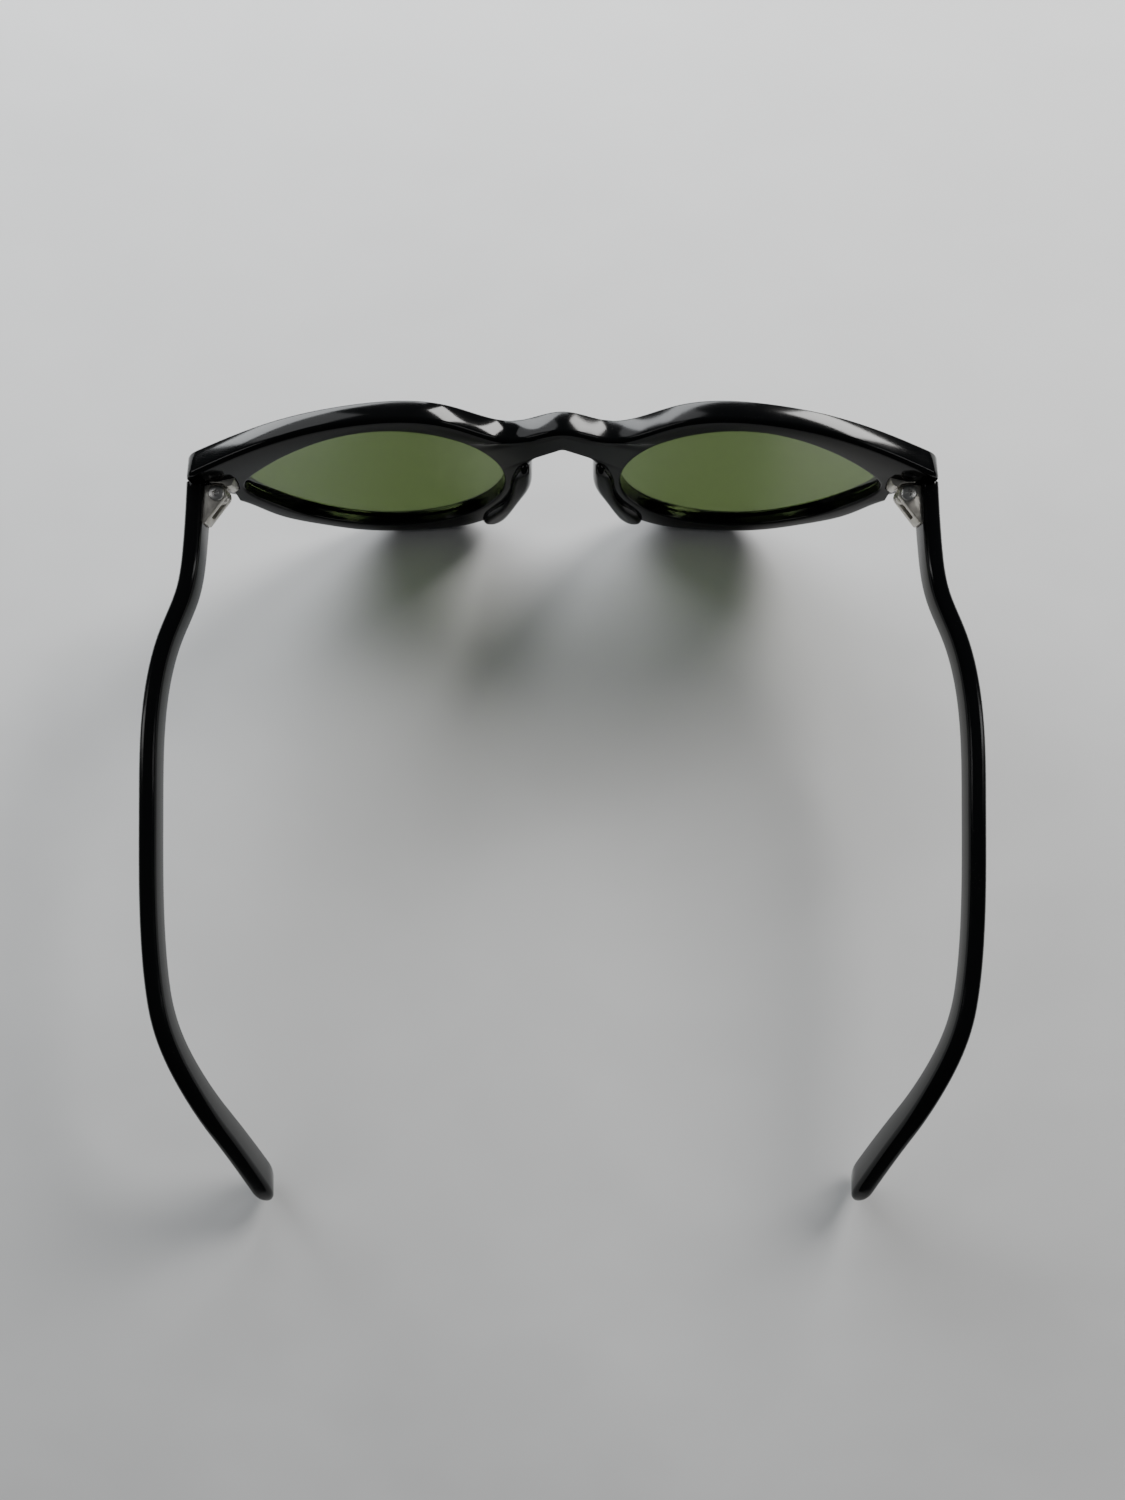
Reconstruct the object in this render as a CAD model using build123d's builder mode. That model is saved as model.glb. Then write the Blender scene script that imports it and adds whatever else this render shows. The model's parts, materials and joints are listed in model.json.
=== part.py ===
"""Cat eye sunglasses: an acetate front, two lenses, glued nose pads and two hinged temples.

Frame: +X is the wearer's right, +Y is forward, +Z is up, millimetres. The glasses are open
and stand on the lower rims and the temple tips, with z = 0 on that surface.
"""

from build123d import *
import os
from math import atan, cos, radians, sin, sqrt, tan

os.makedirs("parts", exist_ok=True)

# ---------------------------------------------------------------- overall sizes
half_width = 69.7            # centre line to the outer end of the front
front_reach = 69.8           # foot of the front plane ahead of the origin
front_tilt = 9.5             # how far the top of the front leans forward, degrees
front_curve = 330.0          # plan radius of the front's outer face
temple_length = 138.0        # butt joint to tip, measured straight back

# ---------------------------------------------------------------- front
bridge_thick = 4.8
rim_thick = 4.2              # over the middle of each lens
outer_thick = 4.6            # beyond each lens
end_thick = 4.9
butt_cut = 1.2               # how much the end piece is cut back where the temple meets it
corner_round = 1.4           # rounding of the end piece's corners, seen from the front
bridge_top = 38.8
bridge_under = 32.1
notch = (8.5, 35.9)          # dip between the bridge and each brow
brow = (36.5, 44.7)          # highest point of the rim
end_top = 36.0               # upper corner of the end piece
end_bottom = 27.4            # lower corner of the end piece

# ---------------------------------------------------------------- lens
lens_centre = (36.0, 22.5)
lens_curve = 130.0           # outer radius of the lens
lens_thick = 1.8
lens_proud = 0.6             # how far the lens centre stands ahead of the rim face
groove_depth = 0.6
lens_fit = 0.04              # gap between the lens and its groove

# ---------------------------------------------------------------- nose pads
pad_depth = 2.6              # how far a pad stands behind the front
pad_root = 1.5               # how far its root reaches into the front

# ---------------------------------------------------------------- hinge
pin_in = 3.9                 # pin axis inboard of the temple's middle
pin_back = 2.1               # pin axis behind the butt joint
hinge_height = 4.0
middle_knuckle = 1.4
knuckle_radius = 1.75
knuckle_gap = 0.06           # running gap on each side of the middle knuckle
knuckle_clear = 0.12         # gap between the plate and the temple's knuckles
plate_thick = 1.5
plate_reach = (-3.3, 1.4)    # inner and outer ends of the front plate, from the pin
recess = 2.1                 # how far inboard of the pin the end piece is cut back
foot_length = 5.6            # temple casting behind the pin
foot_sink = 0.6              # how deep the casting is let into the temple
slot_back = 4.3              # slot for the middle knuckle, behind the pin
hinge_fit = 0.03             # gap between a casting and its pocket
screw_radius = 0.7
screw_fit = 0.04
head_radius = 1.5
head_height = 0.65
cross_width = 0.34           # Phillips recess
cross_length = 1.9
cross_depth = 0.35

# ---------------------------------------------------------------- temples
temple_inset = 1.1           # middle of the temple inboard of the front's outer end
temple_thick = 3.3
tip_thick = 3.7
temple_tall = 6.3            # at the hinge
temple_slim = 5.6            # along the straight
tip_tall = 7.4
section_round = 1.15
tip_round = 0.026            # share of the temple's line that rounds off the tip
temple_middle = 31.9         # height of the temple's middle at the butt joint
temple_slope = 2.3           # fall towards the ear, degrees
bend_start = 95.5            # butt joint to the ear bend
bend_radius = 40.0
bend_angle = 39.2
joint_gap = 0.05             # between the temple's end and the front when open
core_thick = 1.0
core_tall = 2.2
core_fit = 0.05
core_end = 126.5

# ---------------------------------------------------------------- shared places
front_plane = Plane(
    origin=(0, front_reach, 0),
    x_dir=(1, 0, 0),
    z_dir=(0, -cos(radians(front_tilt)), sin(radians(front_tilt))),
)
plan_plane = Plane(origin=front_plane.origin, x_dir=(1, 0, 0), z_dir=front_plane.y_dir)


def sag(u, radius=front_curve):
    """Depth of a circular arc at a distance from its middle."""
    return radius - sqrt(radius * radius - u * u)


temple_x = half_width - temple_inset
end_depth = sag(temple_x) + end_thick - butt_cut
butt_y = (front_plane.origin + front_plane.y_dir * temple_middle).Y - end_depth * cos(radians(front_tilt))
pin_x = temple_x - pin_in
pin_y = butt_y - pin_back


def hinge_plane(side):
    """The plane across the pin, at the middle of the hinge; its z is the pin's axis."""
    lean = radians(temple_slope)
    return Plane(
        origin=(side * pin_x, pin_y, temple_middle - pin_back * tan(lean)),
        x_dir=(1, 0, 0),
        z_dir=(0, -sin(lean), cos(lean)),
    )


def sided(side, *points):
    """Points given for the wearer's right, carried to either side."""
    return [(side * x, y) for x, y in points]


# ---------------------------------------------------------------- front
def grown_outline(points, grow):
    """Points of a closed outline, moved outwards along the curve that passes through them."""
    curve = Edge.make_spline([Vector(*point) for point in points], periodic=True)
    middle = curve.center()
    moved = []
    for point in points:
        spot = Vector(*point)
        along = curve.tangent_at(spot)
        out = Vector(along.Y, -along.X)
        out = out if out.dot(spot - middle) > 0 else -out
        moved.append(spot + out * grow)
    return [(spot.X, spot.Y) for spot in moved]


def opening_face(side, grow=0.0):
    """Outline of one lens opening on the front plane, grown by a margin."""
    points = sided(
        side,
        (11.5, 22.5), (15.2, 32.2), (23.5, 38.6), (35.5, 41.2), (47.5, 38.4), (56.5, 33.3), (60.4, 29.0),
        (58.3, 22.0), (50.5, 12.0), (41.5, 6.0), (31.5, 3.8), (21.0, 6.6), (13.6, 13.8),
    )
    with BuildSketch(front_plane) as opening:
        with BuildLine():
            Spline(*grown_outline(points, grow), periodic=True)
        make_face()
    return opening.sketch


def both_halves(*points):
    """Points from the centre line outwards, with their mirror images put before them."""
    return [(-x, y) for x, y in reversed(points) if x] + list(points)


def front_face():
    """Outline of the whole front on the front plane."""
    upper = both_halves(
        (0, bridge_top), notch, (20.5, 41.8), brow, (51.0, 42.7), (half_width - 7.7, 39.1),
        (half_width, end_top),
    )
    lower = both_halves(
        (0, bridge_under), (3.6, 30.9), (6.3, 26.6), (8.0, 19.0), (10.1, 12.0), (13.7, 5.6),
        (20.5, 1.1), (31.5, 0.0), (41.5, 2.1), (50.2, 7.6), (half_width - 11.9, 14.9),
        (half_width - 8.1, 21.3), (half_width - 4.3, 25.6), (half_width, end_bottom),
    )
    with BuildSketch(front_plane) as outline:
        with BuildLine():
            top = Spline(*upper)
            bottom = Spline(*lower)
            Line(top @ 0, bottom @ 0)
            Line(top @ 1, bottom @ 1)
        make_face()
        fillet(outline.vertices(), corner_round)
    return outline.sketch


def band_face(width):
    """Plan of the front: a circular outer face and a back that thins out over the lenses."""
    outer = half_width - 9.7
    with BuildSketch(plan_plane.offset(-20)) as band:
        with BuildLine():
            ahead = ThreePointArc((-width, -sag(width)), (0, 0), (width, -sag(width)))
            back = Spline(
                (-width, -sag(width) - end_thick),
                (-outer, -sag(outer) - outer_thick),
                (-lens_centre[0], -sag(lens_centre[0]) - rim_thick),
                (0, -bridge_thick),
                (lens_centre[0], -sag(lens_centre[0]) - rim_thick),
                (outer, -sag(outer) - outer_thick),
                (width, -sag(width) - end_thick),
            )
            Line(ahead @ 0, back @ 0)
            Line(ahead @ 1, back @ 1)
        make_face()
    return band.sketch


def lens_solid(side, grow=0.0):
    """One lens: a spherical shell cut to the opening plus the groove's depth."""
    turn = atan(lens_centre[0] / sqrt(front_curve**2 - lens_centre[0] ** 2))
    across = front_plane.x_dir * (side * sin(turn))
    ahead = front_plane.z_dir * (-cos(turn))
    crown = front_plane.from_local_coords((side * lens_centre[0], lens_centre[1], 0))
    crown = Vector(crown) + front_plane.z_dir * (sag(lens_centre[0]) - lens_proud)
    middle = crown - (across + ahead) * lens_curve
    with BuildPart() as lens:
        extrude(opening_face(side, groove_depth + grow), amount=20, both=True)
        with Locations(middle):
            Sphere(lens_curve + grow, mode=Mode.INTERSECT)
            Sphere(lens_curve - lens_thick - grow, mode=Mode.SUBTRACT)
    return lens.part


# ---------------------------------------------------------------- hinges
def front_hinge_solid(side, grow=0.0):
    """Front half of the hinge: plate, gusset and middle knuckle. Grown, it cuts its pocket."""
    plane = hinge_plane(side)
    inner, outer = plate_reach
    with BuildPart() as half:
        with BuildSketch(plane.offset(-hinge_height / 2 - grow)):
            with BuildLine():
                Polyline(
                    *sided(
                        side,
                        (inner - grow, pin_back + plate_thick + grow),
                        (outer + grow, pin_back + plate_thick + grow),
                        (outer + grow, pin_back - 0.1), (-1.0, pin_back - 0.3), (-2.0, 1.1),
                        (inner + 0.5, 1.5), (inner - grow, pin_back + 0.3),
                    ),
                    close=True,
                )
            make_face()
            Circle(knuckle_radius + knuckle_clear, mode=Mode.SUBTRACT)
        extrude(amount=hinge_height + 2 * grow)
        with BuildSketch(plane.offset(-middle_knuckle / 2)):
            Circle(knuckle_radius)
            with BuildLine():
                Polyline(
                    *sided(side, (-1.5, 0.9), (-2.2, pin_back + 0.4), (0.9, pin_back + 0.4), (0.9, 1.5)),
                    close=True,
                )
            make_face()
        extrude(amount=middle_knuckle)
        with BuildSketch(plane):
            Circle(screw_radius + screw_fit)
        extrude(amount=hinge_height, both=True, mode=Mode.SUBTRACT)
    return half.part


def foot_face(plane, side, grow=0.0):
    """Outline of the temple casting: a knuckle and a wedge along the temple's inner face."""
    wall = pin_in - temple_thick / 2
    with BuildSketch(plane) as outline:
        Circle(knuckle_radius + grow)
        with BuildLine():
            Polyline(
                *sided(
                    side,
                    (0.0, knuckle_radius), (wall + foot_sink + grow, knuckle_radius - 0.3),
                    (wall + foot_sink + grow, -foot_length - grow), (wall - 0.2, -foot_length - grow),
                    (-1.62, -0.66),
                ),
                close=True,
            )
        make_face()
    return outline.sketch


def temple_hinge_solid(side):
    """Temple half of the hinge: two outer knuckles with a slot for the middle one."""
    plane = hinge_plane(side)
    slot_tall = middle_knuckle + 2 * knuckle_gap
    wall = pin_in - temple_thick / 2
    with BuildPart() as half:
        extrude(foot_face(plane.offset(-hinge_height / 2), side), amount=hinge_height, dir=plane.z_dir)
        with BuildSketch(plane.offset(-slot_tall / 2)):
            with BuildLine():
                Polyline(
                    *sided(side, (-4, -slot_back), (wall + 0.1, -slot_back), (wall + 0.1, 4), (-4, 4)),
                    close=True,
                )
            make_face()
        extrude(amount=slot_tall, mode=Mode.SUBTRACT)
        with BuildSketch(plane):
            Circle(screw_radius + screw_fit)
        extrude(amount=hinge_height, both=True, mode=Mode.SUBTRACT)
    return half.part


def screw_solid(side):
    """Hinge screw: a domed Phillips head on the top knuckle and a plain shank."""
    plane = hinge_plane(side)
    with BuildPart() as screw:
        with BuildSketch(plane.offset(hinge_height / 2)):
            Circle(head_radius)
        extrude(amount=head_height)
        fillet(screw.edges().filter_by(GeomType.CIRCLE).sort_by(Axis.Z)[-1], head_height * 0.7)
        with BuildSketch(plane.offset(hinge_height / 2 + head_height)):
            with Locations(Location((0, 0, 0), (0, 0, 45))):
                Rectangle(cross_length, cross_width)
                Rectangle(cross_width, cross_length)
        extrude(amount=-cross_depth, mode=Mode.SUBTRACT)
        with BuildSketch(plane.offset(-hinge_height / 2)):
            Circle(screw_radius)
        extrude(amount=hinge_height)
    return screw.part


# ---------------------------------------------------------------- temples
def temple_line(side):
    """Plan of the temple's middle: straight, bowed out past the hinge, in at the ear."""
    lead = 9.0
    with BuildLine() as line:
        Spline(
            *[
                (side * (temple_x + out), butt_y - back)
                for back, out in (
                    (-lead, -0.2), (0, 0), (12.5, 0.6), (21, 1.9), (28.5, 4.8), (36.5, 6.9), (60.5, 8.0),
                    (86.5, 7.1), (102, 4.5), (112.5, 0.6), (126.5, -5.0), (temple_length, -9.0),
                )
            ]
        )
    return line.edges()[0]


def temple_drop(back):
    """Height of the temple's middle and its fall, at a distance behind the butt joint."""
    slope = radians(temple_slope)
    full = slope + radians(bend_angle)
    if back <= bend_start:
        return temple_middle - back * tan(slope), slope
    level = temple_middle - bend_start * tan(slope)
    turn_length = bend_radius * (sin(full) - sin(slope))
    past = back - bend_start
    if past <= turn_length:
        angle = sin(slope) + past / bend_radius
        angle = atan(angle / sqrt(1 - angle * angle))
        return level - bend_radius * (cos(slope) - cos(angle)), angle
    level -= bend_radius * (cos(slope) - cos(full))
    return level - (past - turn_length) * tan(full), full


def temple_size(back):
    """Thickness and height of the temple's section at a distance behind the butt joint."""
    if back < 40:
        return temple_thick, temple_tall + (temple_slim - temple_tall) * back / 40
    if back < bend_start:
        return temple_thick, temple_slim
    share = (back - bend_start) / (temple_length - bend_start)
    return temple_thick + (tip_thick - temple_thick) * share, temple_slim + (tip_tall - temple_slim) * share


def section_plane(line, along):
    """The plane across the temple at a fraction of its line."""
    spot = line @ along
    back = butt_y - spot.Y
    height, fall = temple_drop(back)
    flat = (line % along).normalized()
    run = Vector(flat.X, flat.Y, flat.Y * tan(fall))
    return Plane(origin=(spot.X, spot.Y, height), x_dir=(-flat.Y, flat.X, 0), z_dir=run), back


def temple_section(along, back):
    """Section of the acetate, drawn in at the end to round the tip."""
    thick, tall = temple_size(back)
    into = max(0.0, (along - 1 + tip_round) / tip_round)
    shrink = sqrt(max(0.0, 1 - (0.97 * into) ** 2))
    tall = tall * (0.45 + 0.55 * shrink) if into else tall
    thick *= shrink
    return thick, tall, min(section_round, 0.46 * min(thick, tall))


def loft_bar(side, stations, size, mode=Mode.ADD):
    """Loft a bar through sections across the temple's line, inside the part being built."""
    line = temple_line(side)
    sections = []
    for along in stations:
        plane, back = section_plane(line, along)
        thick, tall, corner = size(along, back)
        with BuildSketch(plane) as section:
            RectangleRounded(thick, tall, corner)
        sections += section.sketch.faces()
    loft(sections, mode=mode)


def cut_at_butt(side):
    """Cut everything ahead of the temple's front end, inside the part being built."""
    ahead = pin_back - joint_gap
    with BuildSketch(hinge_plane(side).offset(-10)) as block:
        with BuildLine():
            Polyline(
                *sided(side, (-1, ahead), (9, ahead), (9, ahead + 15), (-1, ahead + 15)),
                close=True,
            )
        make_face()
    extrude(block.sketch, amount=20, dir=hinge_plane(side).z_dir, mode=Mode.SUBTRACT)


def core_stations():
    last = core_end / temple_length
    return [last * share / 12 for share in range(13)]


def temple_solid(side):
    """Acetate temple with the wire's channel and the pocket for the hinge casting."""
    steps = [
        0, 0.03, 0.06, 0.09, 0.12, 0.16, 0.2, 0.24, 0.28, 0.34, 0.42, 0.52, 0.6, 0.67, 0.74, 0.8,
        0.86, 0.92,
    ]
    ends = [1 - tip_round * (1 - step) for step in (0, 0.35, 0.65, 0.88, 1.0)]
    plane = hinge_plane(side)
    pocket = foot_face(plane.offset(-hinge_height / 2 - hinge_fit), side, hinge_fit)
    with BuildPart() as temple:
        loft_bar(side, steps + ends, temple_section)
        loft_bar(side, core_stations(), lambda along, back: core_section(core_fit), Mode.SUBTRACT)
        extrude(pocket, amount=hinge_height + 2 * hinge_fit, dir=plane.z_dir, mode=Mode.SUBTRACT)
        cut_at_butt(side)
    return temple.part


def core_section(grow=0.0):
    return core_thick + 2 * grow, core_tall + 2 * grow, 0.3


def core_solid(side):
    """The wire inside one temple, cut off flush with the temple's end."""
    with BuildPart() as core:
        loft_bar(side, core_stations(), lambda along, back: core_section())
        cut_at_butt(side)
    return core.part


# ---------------------------------------------------------------- nose pads
def pad_solid(side, front_part):
    """A leaf of acetate fused to the nasal side of the rim's back, drawn in towards the nose."""
    outline = sided(
        side,
        (7.2, 27.6), (9.4, 24.5), (10.7, 18.0), (13.0, 11.5), (16.8, 6.0), (17.2, 2.8),
        (14.4, 2.2), (10.8, 7.8), (8.2, 14.5), (6.0, 22.0),
    )
    slices = [(pad_root, 0.0), (-pad_depth * 0.5, -0.1), (-pad_depth * 0.85, -0.6), (-pad_depth, -1.3)]
    with BuildPart() as pad:
        for depth, grow in slices:
            with BuildSketch(front_plane.offset(bridge_thick - depth)):
                with BuildLine():
                    Spline(*grown_outline(outline, grow), periodic=True)
                make_face()
        loft()
        add(front_part, mode=Mode.SUBTRACT)
    return pad.part


# ---------------------------------------------------------------- build
def save(node, part):
    part.label = node
    export_step(part, f"parts/{node}.step")


sides = {"right": 1, "left": -1}

outline = front_face()
band = band_face(half_width + 2)  # runs past the outline on both sides
lens_grooves = {side: lens_solid(side, lens_fit) for side in sides.values()}
hinge_pockets = {side: front_hinge_solid(side, hinge_fit) for side in sides.values()}

with BuildPart() as front_frame:
    extrude(outline, amount=40, both=True)
    extrude(band, amount=100, dir=plan_plane.z_dir, mode=Mode.INTERSECT)
    for side in sides.values():
        opening = opening_face(side)
        extrude(opening, amount=40, both=True, mode=Mode.SUBTRACT)
        add(lens_grooves[side], mode=Mode.SUBTRACT)
        add(hinge_pockets[side], mode=Mode.SUBTRACT)
        with BuildSketch(hinge_plane(side).offset(-20)):
            with BuildLine():
                Polyline(
                    *sided(side, (-recess, pin_back), (12, pin_back), (12, -8), (-recess, -8)),
                    close=True,
                )
            make_face()
        extrude(amount=40, mode=Mode.SUBTRACT)
save("front_frame", front_frame.part)

for name, side in sides.items():
    save(f"lens_{name}", lens_solid(side))
    save(f"nose_pad_{name}", pad_solid(side, front_frame.part))
    save(f"front_hinge_{name}", front_hinge_solid(side))
    save(f"temple_hinge_{name}", temple_hinge_solid(side))
    save(f"hinge_screw_{name}", screw_solid(side))
    save(f"temple_{name}", temple_solid(side))
    save(f"temple_core_{name}", core_solid(side))
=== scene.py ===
# %% [markdown]
# # Cat eye sunglasses
# A polished black acetate front holds two bottle-green lenses, and two slim temples fold on
# three-barrel hinges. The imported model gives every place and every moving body, so each piece
# below is built straight into that frame, in metres, and rides on the body it belongs to.

import json
from math import asin, cos, pi, radians, sin, sqrt, tan

import bmesh
import bpy
import numpy as np
from mathutils import Matrix, Vector


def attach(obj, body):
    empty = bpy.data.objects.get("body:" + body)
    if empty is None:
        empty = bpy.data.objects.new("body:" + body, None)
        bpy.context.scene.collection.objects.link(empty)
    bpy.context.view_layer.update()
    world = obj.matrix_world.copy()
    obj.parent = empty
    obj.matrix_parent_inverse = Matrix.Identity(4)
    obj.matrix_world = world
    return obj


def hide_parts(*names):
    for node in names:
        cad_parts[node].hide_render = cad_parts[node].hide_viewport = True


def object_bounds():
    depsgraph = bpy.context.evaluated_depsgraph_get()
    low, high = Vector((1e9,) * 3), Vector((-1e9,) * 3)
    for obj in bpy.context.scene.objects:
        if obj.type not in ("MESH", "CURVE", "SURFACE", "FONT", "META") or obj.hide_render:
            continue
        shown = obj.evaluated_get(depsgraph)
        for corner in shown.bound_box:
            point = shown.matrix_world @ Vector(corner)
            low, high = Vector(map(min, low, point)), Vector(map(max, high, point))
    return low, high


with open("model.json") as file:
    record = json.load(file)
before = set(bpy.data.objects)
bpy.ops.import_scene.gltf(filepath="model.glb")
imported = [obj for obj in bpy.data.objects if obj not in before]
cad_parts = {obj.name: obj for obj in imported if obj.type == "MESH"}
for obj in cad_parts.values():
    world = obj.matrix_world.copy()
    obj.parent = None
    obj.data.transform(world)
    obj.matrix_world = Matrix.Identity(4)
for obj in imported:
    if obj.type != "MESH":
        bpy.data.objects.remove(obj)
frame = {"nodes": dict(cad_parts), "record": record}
cad_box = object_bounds()
MM = 0.001
SIDES = {"right": 1, "left": -1}
hinge_of = {joint["name"]: joint for joint in frame["record"]["behaviour"]["joints"]}

# %% [markdown]
# ## The front's own plane
# An acetate front is cut flat from sheet, heated and bent over a form, so it is easiest to draw
# flat: u runs sideways, v up the lens and w out of the lens. One function then leans that flat
# drawing forward by the pantoscopic tilt and sets it on the table, and another gives the bend.

# %% Front plane
front_tilt = radians(9.5)
front_reach = 69.8
front_curve = 330.0
half_width = 69.7
lens_middle = (36.0, 22.5)


def sag(u, radius=front_curve):
    """Depth of a circular arc at a distance from its middle, in millimetres."""
    return radius - sqrt(radius * radius - u * u)


def on_front(u, v, w):
    """A point given on the front's flat drawing, in millimetres, as a place in metres."""
    y = front_reach + v * sin(front_tilt) + w * cos(front_tilt)
    return Vector((u, y, v * cos(front_tilt) - w * sin(front_tilt))) * MM


print("foot of the front", [round(x, 4) for x in on_front(0, 0, 0)])

# %% [markdown]
# ## Smooth outlines
# A pattern maker marks a few points and runs a springy batten through them. A cubic spline is
# that batten: few points, no flats, and the curvature carries through every point. It is solved
# once here and used for the outline, the lens openings, the pads and the temples.

# %% Batten curve
def batten(points, count, closed=False):
    """Places spaced evenly along a cubic spline that passes through the points."""
    marks = np.array(points, float)
    if closed:
        marks = np.vstack([marks, marks[:1]])
    steps = np.linalg.norm(np.diff(marks, axis=0), axis=1)
    at = np.concatenate([[0], np.cumsum(steps)])
    n = len(marks)
    rows, right = np.zeros((n, n)), np.zeros((n, marks.shape[1]))
    for i in range(1, n - 1):
        a, b = steps[i - 1], steps[i]
        rows[i, i - 1:i + 2] = a, 2 * (a + b), b
        right[i] = 6 * ((marks[i + 1] - marks[i]) / b - (marks[i] - marks[i - 1]) / a)
    if closed:
        a, b = steps[-1], steps[0]
        rows[0, [-2, 0, 1]] = a, 2 * (a + b), b
        right[0] = 6 * ((marks[1] - marks[0]) / b - (marks[0] - marks[-2]) / a)
        rows[-1, [0, -1]] = 1, -1
    else:
        rows[0, 0] = rows[-1, -1] = 1
    bend = np.linalg.solve(rows, right)

    def spot(s):
        i = min(np.searchsorted(at, s, side="right") - 1, n - 2)
        h, b, a = steps[i], s - at[i], at[i + 1] - s
        pull = bend[i] * (a**3 / h - a * h) / 6 + bend[i + 1] * (b**3 / h - b * h) / 6
        return (marks[i] * a + marks[i + 1] * b) / h + pull

    fine = np.array([spot(s) for s in np.linspace(0, at[-1], 240 * n)])
    run = np.concatenate([[0], np.cumsum(np.linalg.norm(np.diff(fine, axis=0), axis=1))])
    stops = np.linspace(0, run[-1], count + 1)[: count if closed else None]
    return np.column_stack([np.interp(stops, run, fine[:, k]) for k in range(fine.shape[1])])


# %% [markdown]
# ## Outline and lens openings
# The cat eye comes from two things: the brow line that climbs to the end piece, and an opening
# whose outer corner is drawn up and back. Only the right half is marked out; the left mirrors it.

# %% Outline marks
bridge_top, bridge_under = (0.0, 38.8), (0.0, 32.1)
brow, end_top, end_bottom, chin = (36.5, 44.7), (half_width, 36.0), (half_width, 27.4), (31.5, 0.0)
upper_marks = [(8.5, 35.9), (20.5, 41.8), brow, (51.0, 42.7), (62.0, 39.1), end_top]
lower_marks = [
    (3.6, 30.9), (6.3, 26.6), (8.0, 19.0), (10.1, 12.0), (13.7, 5.6), (20.5, 1.1), chin,
    (41.5, 2.1), (50.2, 7.6), (57.8, 14.9), (61.6, 21.3), (65.4, 25.6), end_bottom,
]
opening_marks = [
    (11.5, 22.5), (15.2, 32.2), (23.5, 38.6), (35.5, 41.2), (47.5, 38.4), (56.5, 33.3), (60.4, 29.0),
    (58.3, 22.0), (50.5, 12.0), (41.5, 6.0), (31.5, 3.8), (21.0, 6.6), (13.6, 13.8),
]


def mirrored_batten(centre, marks, count):
    """The right half of a batten laid across both halves, from the centre line outwards."""
    both = [(-u, v) for u, v in reversed(marks)] + [centre] + marks
    run = batten(both, 2 * count)
    return run[count:]


opening_run = batten(opening_marks, 720, closed=True)
from_middle = opening_run - lens_middle
opening_angles = np.arctan2(from_middle[:, 1], from_middle[:, 0]) % (2 * pi)
order = np.argsort(opening_angles)
opening_reach = np.hypot(*from_middle.T)[order]
opening_turn = opening_angles[order]


def opening_at(angle, grow=0.0):
    """The point of the lens opening that lies at an angle round the lens's middle."""
    reach = np.interp(angle % (2 * pi), opening_turn, opening_reach, period=2 * pi) + grow
    return lens_middle[0] + reach * cos(angle), lens_middle[1] + reach * sin(angle)


print("opening", np.round(opening_run.min(axis=0), 1), np.round(opening_run.max(axis=0), 1))

# %% [markdown]
# ## Finishes
# Acetate is tumbled in barrels for days, so it is glossy but never a perfect mirror: there are
# faint waves, hairline scratches and a little dust in every real highlight. Those small faults
# are what tell the eye it is plastic and not paint. Each finish below is one Principled shader
# with noise on its roughness, colour and bump.

# %% Material helpers
def new_finish(name, **values):
    """A material with its Principled shader's constants set, and its node tree to add to."""
    material = bpy.data.materials.new(name)
    material.use_nodes = True
    shader = material.node_tree.nodes["Principled BSDF"]
    for socket, value in values.items():
        shader.inputs[socket.replace("_", " ")].default_value = value
    return material, material.node_tree, shader


def noise(tree, scale, detail=4.0, rough=0.5, stretch=(1, 1, 1), turn=(0, 0, 0)):
    """Noise on Object coordinates, stretched and turned by a Mapping node."""
    coordinates = tree.nodes.new("ShaderNodeTexCoord")
    mapping = tree.nodes.new("ShaderNodeMapping")
    mapping.inputs["Scale"].default_value = stretch
    mapping.inputs["Rotation"].default_value = turn
    texture = tree.nodes.new("ShaderNodeTexNoise")
    texture.inputs["Scale"].default_value = scale
    texture.inputs["Detail"].default_value = detail
    texture.inputs["Roughness"].default_value = rough
    tree.links.new(coordinates.outputs["Object"], mapping.inputs["Vector"])
    tree.links.new(mapping.outputs["Vector"], texture.inputs["Vector"])
    return texture.outputs["Fac"]


def spread(tree, source, low, high, out_low, out_high):
    """Map one range of a value to another, clamped."""
    node = tree.nodes.new("ShaderNodeMapRange")
    sockets = ("From Min", "From Max", "To Min", "To Max")
    for socket, value in zip(sockets, (low, high, out_low, out_high)):
        node.inputs[socket].default_value = value
    tree.links.new(source, node.inputs["Value"])
    return node.outputs["Result"]


def blend_colours(tree, share, first, second):
    """Mix two colours by a value."""
    node = tree.nodes.new("ShaderNodeMix")
    node.data_type = "RGBA"
    node.inputs[6].default_value = first
    node.inputs[7].default_value = second
    tree.links.new(share, node.inputs[0])
    return node.outputs[2]


def add_bump(tree, shader, height, strength, depth, under=None):
    """Bump from a height value, laid over another bump if one is given."""
    node = tree.nodes.new("ShaderNodeBump")
    node.inputs["Strength"].default_value = strength
    node.inputs["Distance"].default_value = depth
    tree.links.new(height, node.inputs["Height"])
    if under is not None:
        tree.links.new(under, node.inputs["Normal"])
    tree.links.new(node.outputs["Normal"], shader.inputs["Normal"])
    return node.outputs["Normal"]


# %% [markdown]
# ### Black acetate
# Two versions of one plastic: the tumbled outside, and the back of the rims where the wheel
# hardly reaches, which keeps a satin skin. Dust is a sharp threshold on fine noise, held to
# patches by a broad one, so it gathers here and there instead of lying evenly.

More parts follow.
